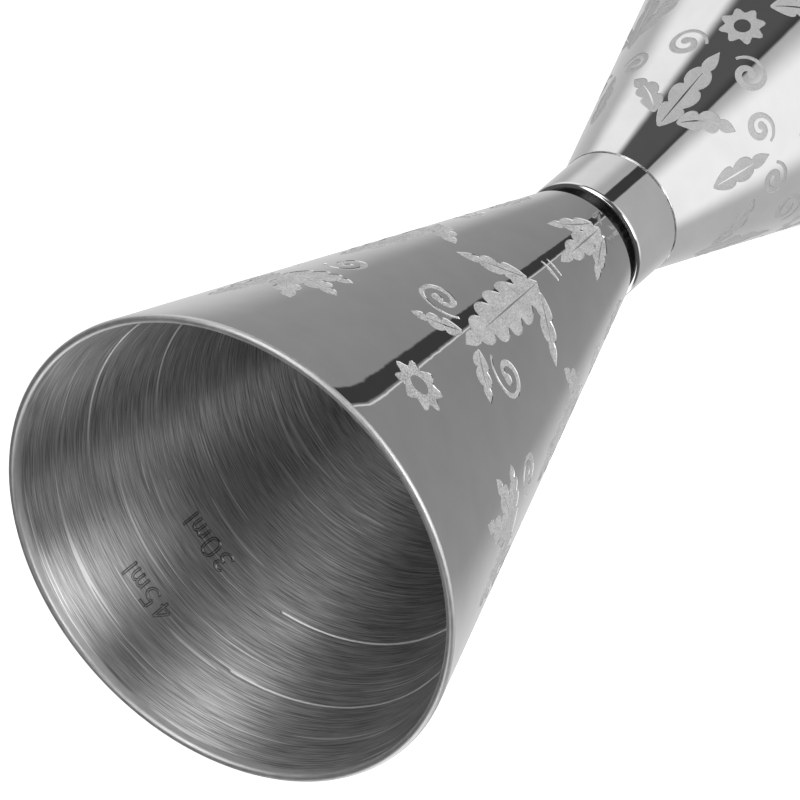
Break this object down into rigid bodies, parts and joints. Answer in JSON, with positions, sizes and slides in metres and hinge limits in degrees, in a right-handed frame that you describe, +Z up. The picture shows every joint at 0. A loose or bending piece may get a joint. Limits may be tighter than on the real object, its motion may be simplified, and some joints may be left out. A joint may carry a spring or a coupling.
{
  "type": "bar jigger",
  "caption": "Double-ended conical stainless steel measuring jigger with a grooved waist collar and lines inside each cup.",
  "frame": {"origin": "centre of the small cup's rim, on the surface the jigger stands on", "axes": "+Z up along the axis towards the large mouth, +Y towards the gap for the numbers in the measuring lines"},
  "size_m": [0.0526, 0.0526, 0.1251],
  "materials": {
    "cup_steel": "mirror polished outside, finely brushed inside",
    "collar_steel": "mirror polished",
    "core_steel": "turned",
    "braze_metal": "satin"
  },
  "bodies": {
    "root": {"large_cup": "cup_steel", "small_cup": "cup_steel", "waist_core": "core_steel", "waist_collar": "collar_steel", "large_braze": "braze_metal", "small_braze": "braze_metal"}
  },
  "joints": []
}
